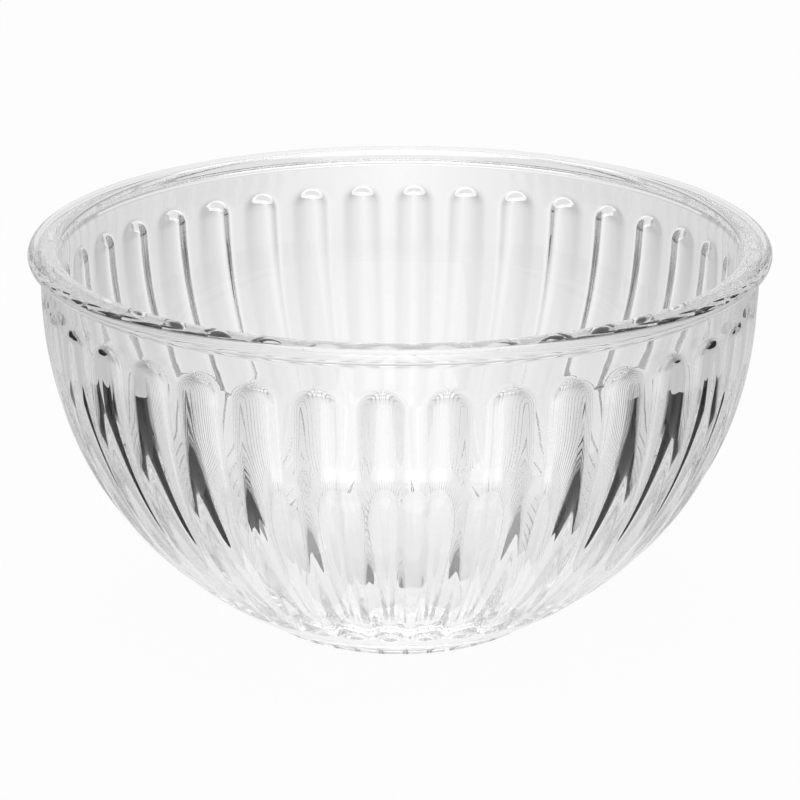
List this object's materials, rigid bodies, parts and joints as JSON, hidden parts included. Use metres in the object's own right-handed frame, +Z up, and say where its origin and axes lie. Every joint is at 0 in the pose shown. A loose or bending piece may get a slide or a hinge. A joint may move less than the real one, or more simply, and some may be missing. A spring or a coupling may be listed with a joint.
{
  "type": "glass bowl",
  "caption": "Deep round bowl of clear pressed glass with a rolled rim, a smooth inside, round-ended concave flutes down the outside and a low flat foot.",
  "frame": {"origin": "centre of the foot's flat underside, on the surface that the bowl stands on", "axes": "+Z up along the bowl's axis, through the middle of the rim; +X through the middle of one flute"},
  "size_m": [0.23, 0.23, 0.1215],
  "materials": {
    "glass": "clear colourless pressed glass, fire-polished and glossy"
  },
  "bodies": {
    "root": {"bowl": "glass"}
  },
  "joints": []
}
